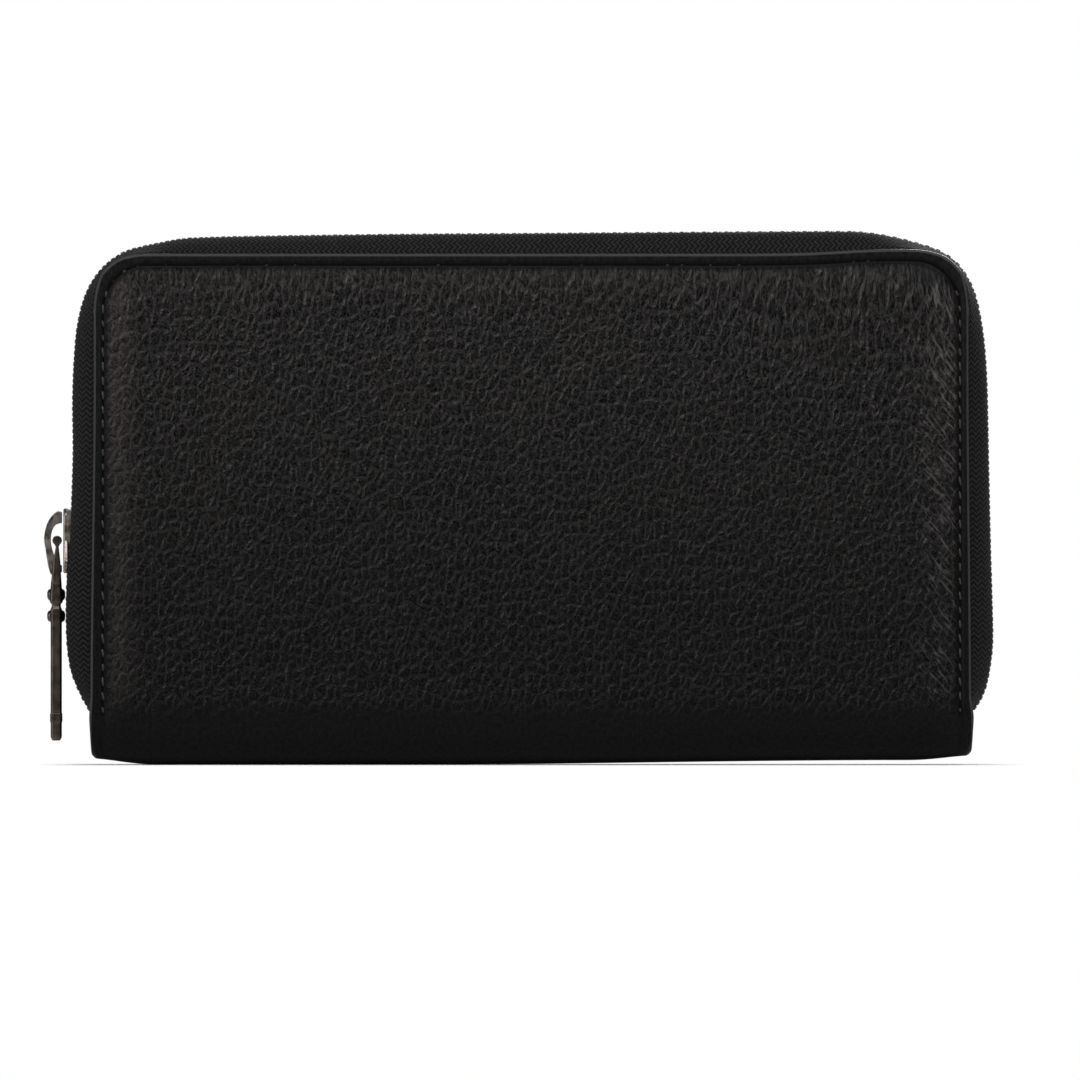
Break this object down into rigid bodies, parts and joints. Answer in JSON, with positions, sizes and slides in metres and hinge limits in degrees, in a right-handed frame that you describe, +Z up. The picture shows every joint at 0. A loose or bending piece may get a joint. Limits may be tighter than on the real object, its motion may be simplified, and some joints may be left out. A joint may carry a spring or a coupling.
{
  "type": "long wallet",
  "caption": "Long zip-around wallet in pebbled leather, padded covers on a rounded spine, card slots, note compartments and a central coin pocket, metal zip with a bar puller.",
  "frame": {"origin": "middle of the flat strip under the spine that the closed wallet stands on", "axes": "+X along the spine, from the end where the slider rests to the end where the zip starts; +Y from the front cover to the back cover; +Z up, from the spine to the zip along the top"},
  "size_m": [0.2042, 0.0256, 0.1146],
  "materials": {
    "leather": "pebbled black leather, soft satin",
    "inner_leather": "smooth black leather, matte",
    "lining": "black twill lining, matte",
    "foam": "grey foam, hidden",
    "zip_tape": "black herringbone tape",
    "zip_teeth": "dark gunmetal",
    "coin_teeth": "black nylon",
    "nickel": "antique nickel, brushed"
  },
  "bodies": {
    "core": {"spine_leather": "leather", "spine_lining": "lining", "coin_pocket_front_wall": "lining", "coin_pocket_back_wall": "lining", "coin_zip_front_tape": "zip_tape", "coin_zip_back_tape": "zip_tape", "coin_zip_front_teeth": "coin_teeth", "coin_zip_back_teeth": "coin_teeth", "front_left_gusset": "lining", "front_right_gusset": "lining", "back_left_gusset": "lining", "back_right_gusset": "lining"},
    "front": {"front_cover": "leather", "front_padding": "foam", "front_lining": "lining", "front_card_panel": "inner_leather", "front_card_strip_1": "inner_leather", "front_card_strip_2": "inner_leather", "front_card_strip_3": "inner_leather", "front_zip_tape": "zip_tape", "front_zip_teeth": "zip_teeth", "front_zip_end_stop": "zip_teeth"},
    "back": {"back_cover": "leather", "back_padding": "foam", "back_lining": "lining", "back_card_panel": "inner_leather", "back_card_strip_1": "inner_leather", "back_card_strip_2": "inner_leather", "back_card_strip_3": "inner_leather", "back_zip_tape": "zip_tape", "back_zip_teeth": "zip_teeth", "back_zip_end_stop": "zip_teeth", "zip_start_stop": "zip_teeth"},
    "slider": {"slider_body": "nickel", "slider_crown": "nickel"},
    "puller": {"zip_puller": "nickel"},
    "coin_slider": {"coin_slider": "nickel"},
    "coin_pull": {"coin_pull": "nickel"}
  },
  "joints": [
    {"name": "front_cover_open", "type": "hinge", "parent": "core", "child": "front", "pos_m": [0, -0.0128, 0.01085], "axis": [1, 0, 0], "range_deg": [0, 30], "deforming": ["front_zip_tape", "front_zip_teeth", "front_left_gusset", "front_right_gusset"]},
    {"name": "back_cover_open", "type": "hinge", "parent": "core", "child": "back", "pos_m": [0, 0.0128, 0.01085], "axis": [-1, 0, 0], "range_deg": [0, 30], "deforming": ["back_zip_tape", "back_zip_teeth", "back_left_gusset", "back_right_gusset"]},
    {"name": "zip_slide", "type": "slide", "parent": "back", "child": "slider", "axis": [0, 0, 1], "range_m": [-0.005, 0.036]},
    {"name": "puller_swing", "type": "hinge", "parent": "slider", "child": "puller", "pos_m": [-0.10215, 0, 0.0483], "axis": [0, 1, 0], "range_deg": [0, 150]},
    {"name": "coin_zip_slide", "type": "slide", "parent": "core", "child": "coin_slider", "axis": [1, 0, 0], "range_m": [0, 0.14], "deforming": ["coin_zip_front_teeth", "coin_zip_back_teeth"]},
    {"name": "coin_pull_swing", "type": "hinge", "parent": "coin_slider", "child": "coin_pull", "pos_m": [-0.0726, 0, 0.0951], "axis": [0, -1, 0], "range_deg": [0, 165]}
  ]
}
